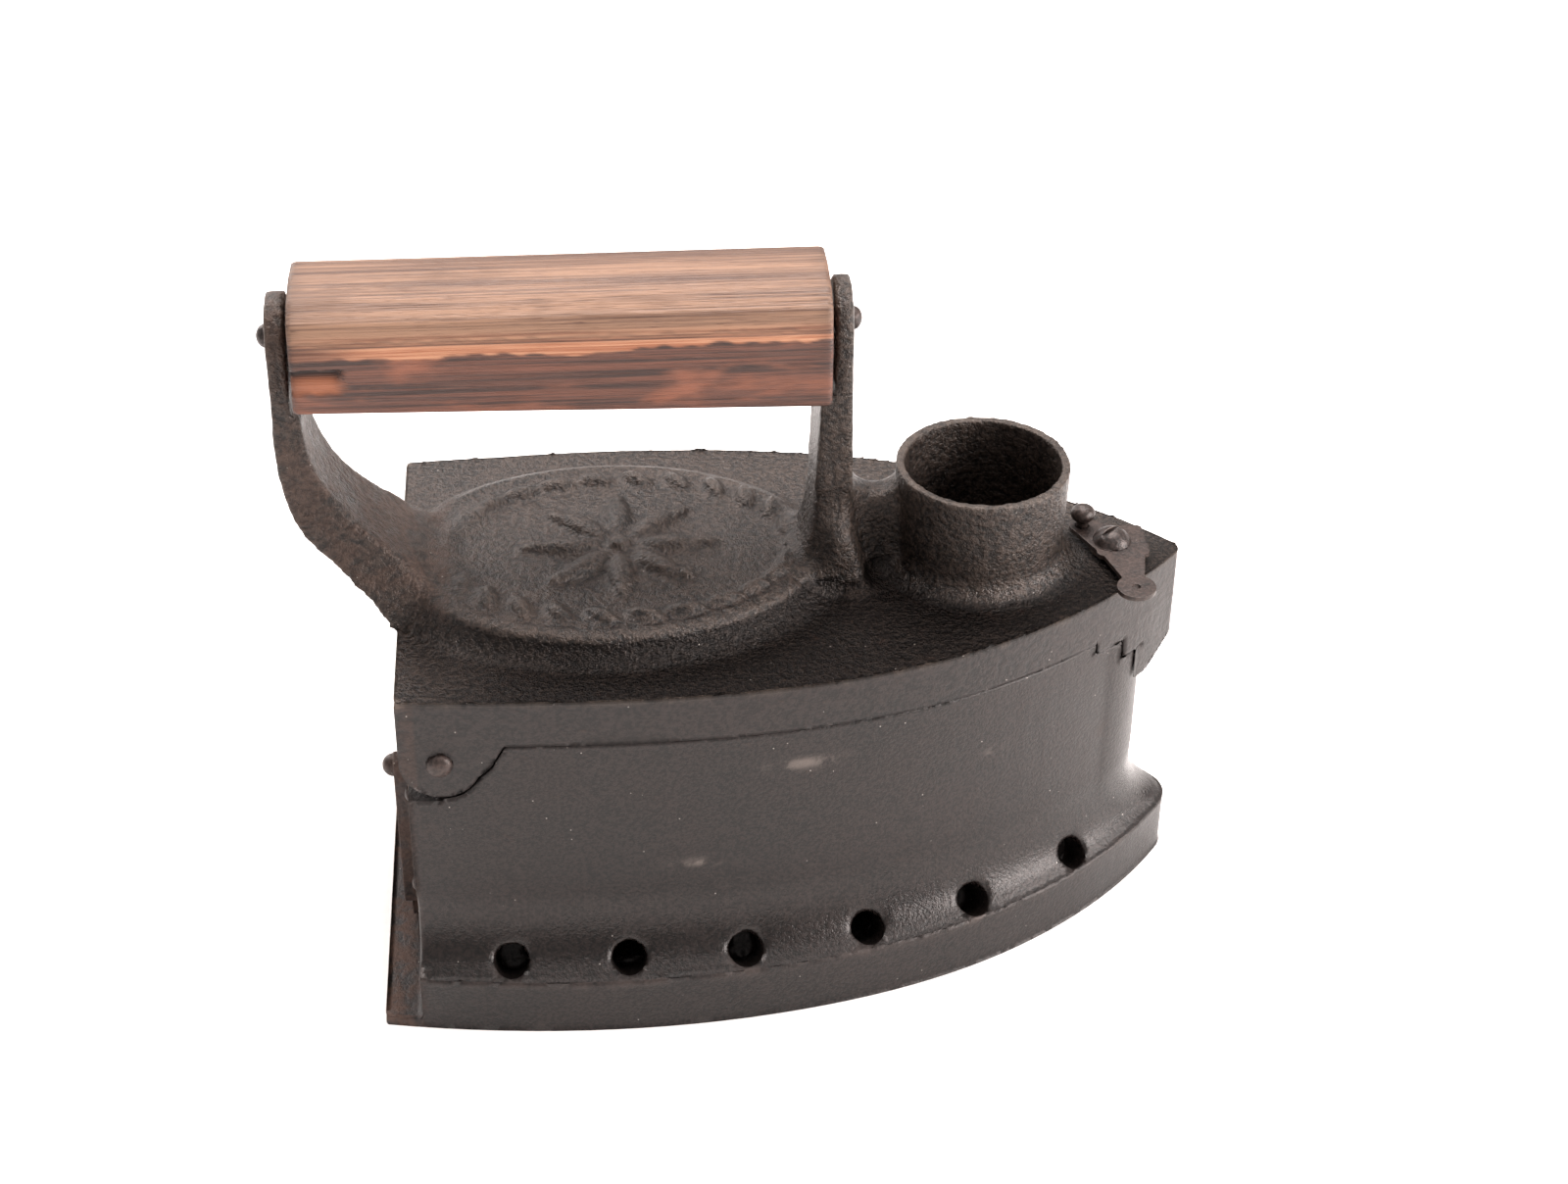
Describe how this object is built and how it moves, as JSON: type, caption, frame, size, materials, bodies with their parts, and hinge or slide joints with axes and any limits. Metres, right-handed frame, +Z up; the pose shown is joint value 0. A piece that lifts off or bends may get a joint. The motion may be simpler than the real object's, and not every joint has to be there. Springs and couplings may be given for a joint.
{
  "type": "charcoal iron",
  "caption": "Cast-iron charcoal iron with a hinged lid, an offset chimney, a wooden grip, a turning nose latch, side air holes and a lifting rear draft gate.",
  "frame": {"origin": "middle of the sole's flat face", "axes": "+Z up from the sole, +X towards the nose, +Y across, to the far side"},
  "size_m": [0.2204, 0.1286, 0.1728],
  "materials": {
    "wall_iron": "smooth satin charcoal grey with fine specks",
    "lid_iron": "rough sand-cast black, slightly brown",
    "grate_iron": "scaled and ashy",
    "gate_iron": "dull black with rust bloom",
    "strip_iron": "dark wrought strip",
    "rivet_iron": "dark hammered heads",
    "rod_iron": "dark wrought bar",
    "shield_iron": "heat-scaled sheet",
    "lever_iron": "dark sheet with a worn edge",
    "screw_iron": "dark round heads",
    "grip_wood": "reddish brown, weathered on top"
  },
  "bodies": {
    "body": {"body_casting": "wall_iron", "fire_grate": "grate_iron", "gate_guide_right": "strip_iron", "gate_guide_left": "strip_iron", "gate_guide_rivets": "rivet_iron", "hinge_rivet_right": "rivet_iron", "hinge_rivet_left": "rivet_iron", "hinge_rivet_washers": "strip_iron"},
    "draft_gate": {"damper_gate": "gate_iron", "damper_peg": "rivet_iron"},
    "lid": {"lid_casting": "lid_iron", "grip": "grip_wood", "grip_rod": "rod_iron", "heat_shield": "shield_iron", "heat_shield_spacers": "strip_iron", "heat_shield_rivets": "rivet_iron"},
    "latch": {"latch_lever": "lever_iron", "latch_washer": "strip_iron", "latch_screw": "screw_iron", "latch_knob": "screw_iron", "latch_tongue": "lever_iron", "latch_nut": "screw_iron"}
  },
  "joints": [
    {"name": "lid_hinge", "type": "hinge", "parent": "body", "child": "lid", "pos_m": [-0.083, 0, 0.0733], "axis": [0, -1, 0], "range_deg": [0, 95]},
    {"name": "latch_turn", "type": "hinge", "parent": "lid", "child": "latch", "pos_m": [0.0805, 0, 0.0922], "axis": [0, 0, 1], "range_deg": [-35, 0]},
    {"name": "draft_gate_lift", "type": "slide", "parent": "body", "child": "draft_gate", "axis": [0, 0, 1], "range_m": [0, 0.016]}
  ]
}
